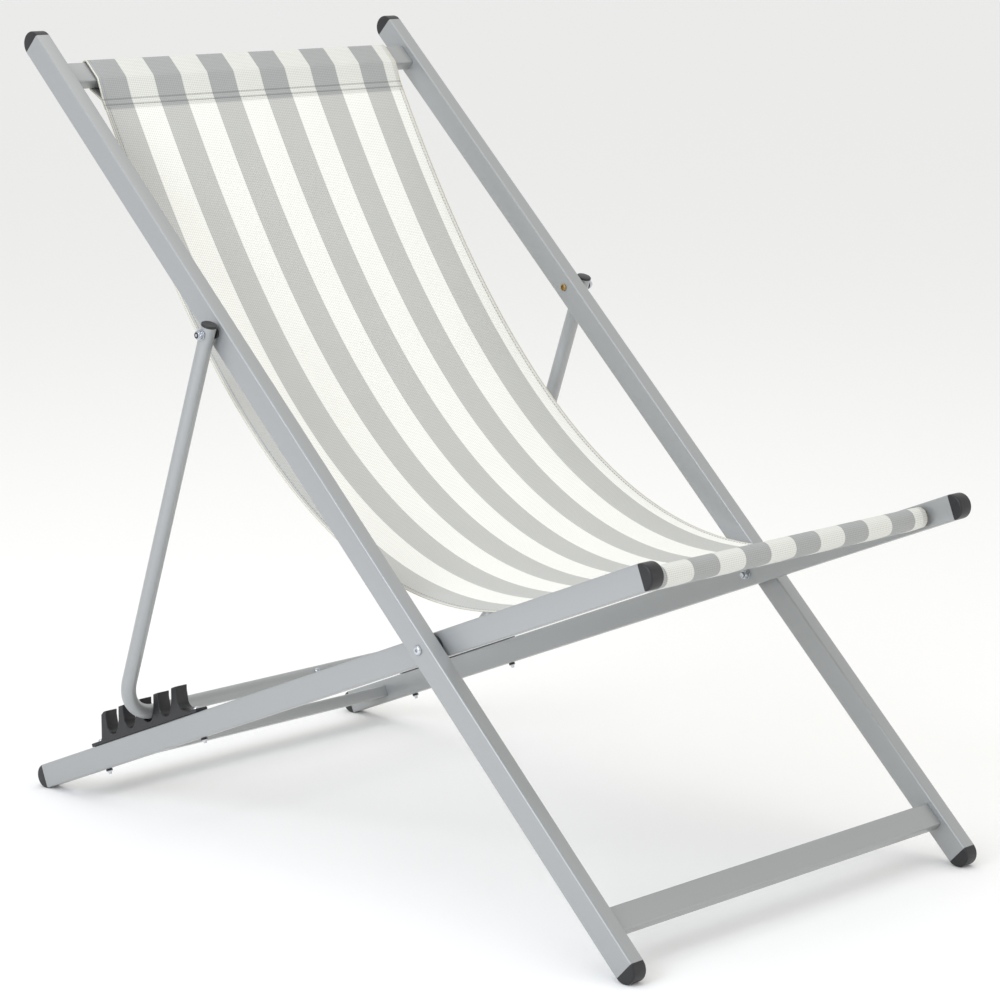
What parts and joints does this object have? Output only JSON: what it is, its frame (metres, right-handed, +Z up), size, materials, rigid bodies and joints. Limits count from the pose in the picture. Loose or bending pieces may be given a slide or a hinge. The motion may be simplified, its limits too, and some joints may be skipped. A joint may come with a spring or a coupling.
{
  "type": "folding deck chair",
  "caption": "Folding deck chair: two crossing tube frames, a bent-tube prop in toothed racks and a striped fabric sling hung between two crossbars.",
  "frame": {"origin": "middle of the bounding box's base, on the floor", "axes": "+Z up; -Y is the way the sitter faces; +X is the sitter's left, so piece names ending in left are on -X, seen from the front"},
  "size_m": [0.6536, 1.0426, 0.9432],
  "materials": {
    "frame_paint": "satin silver-grey powder coat",
    "black_plastic": "moulded, fine matt texture",
    "zinc": "bright zinc plate",
    "yellow_zinc": "yellow passivated zinc plate",
    "sling_fabric": "woven coated yarn, off-white and grey stripes 42 mm wide"
  },
  "bodies": {
    "back_frame": {"back_rail_left": "frame_paint", "back_rail_right": "frame_paint", "top_crossbar": "frame_paint", "bottom_crossbar": "frame_paint", "back_top_cap_left": "black_plastic", "back_top_cap_right": "black_plastic", "foot_cap_left": "black_plastic", "foot_cap_right": "black_plastic", "pivot_bolt_left": "zinc", "pivot_bolt_right": "zinc", "pivot_spacer_left": "black_plastic", "pivot_spacer_right": "black_plastic", "pivot_washer_left": "zinc", "pivot_washer_right": "zinc", "pivot_nut_left": "zinc", "pivot_nut_right": "zinc", "prop_bolt_left": "yellow_zinc", "prop_bolt_right": "yellow_zinc", "prop_spacer_left": "black_plastic", "prop_spacer_right": "black_plastic", "prop_washer_left": "zinc", "prop_washer_right": "zinc", "prop_nut_left": "zinc", "prop_nut_right": "zinc", "sling": "sling_fabric"},
    "seat_frame": {"seat_rail_left": "frame_paint", "seat_rail_right": "frame_paint", "sling_front_bar": "frame_paint", "seat_rear_crossbar": "frame_paint", "seat_front_cap_left": "black_plastic", "seat_front_cap_right": "black_plastic", "seat_rear_cap_left": "black_plastic", "seat_rear_cap_right": "black_plastic", "notch_rack_left": "black_plastic", "notch_rack_right": "black_plastic", "rack_bolt_rear_left": "zinc", "rack_bolt_rear_right": "zinc", "rack_bolt_front_left": "zinc", "rack_bolt_front_right": "zinc", "rack_nut_rear_left": "zinc", "rack_nut_rear_right": "zinc", "rack_nut_front_left": "zinc", "rack_nut_front_right": "zinc"},
    "prop": {"prop_half_left": "frame_paint", "prop_half_right": "frame_paint", "prop_cap_left": "black_plastic", "prop_cap_right": "black_plastic", "prop_connector": "frame_paint", "prop_middle_screw": "zinc"}
  },
  "joints": [
    {"name": "frame_fold", "type": "hinge", "parent": "back_frame", "child": "seat_frame", "pos_m": [0, -0.19806, 0.30496], "axis": [1, 0, 0], "range_deg": [-3.05, 65.5], "deforming": ["sling"]},
    {"name": "prop_swing", "type": "hinge", "parent": "back_frame", "child": "prop", "pos_m": [0, 0.13267, 0.61744], "axis": [1, 0, 0], "range_deg": [-5, 107.42]}
  ],
  "couplings": [
    {"joint": "prop_swing", "follows": "frame_fold", "ratio": 1.64}
  ]
}
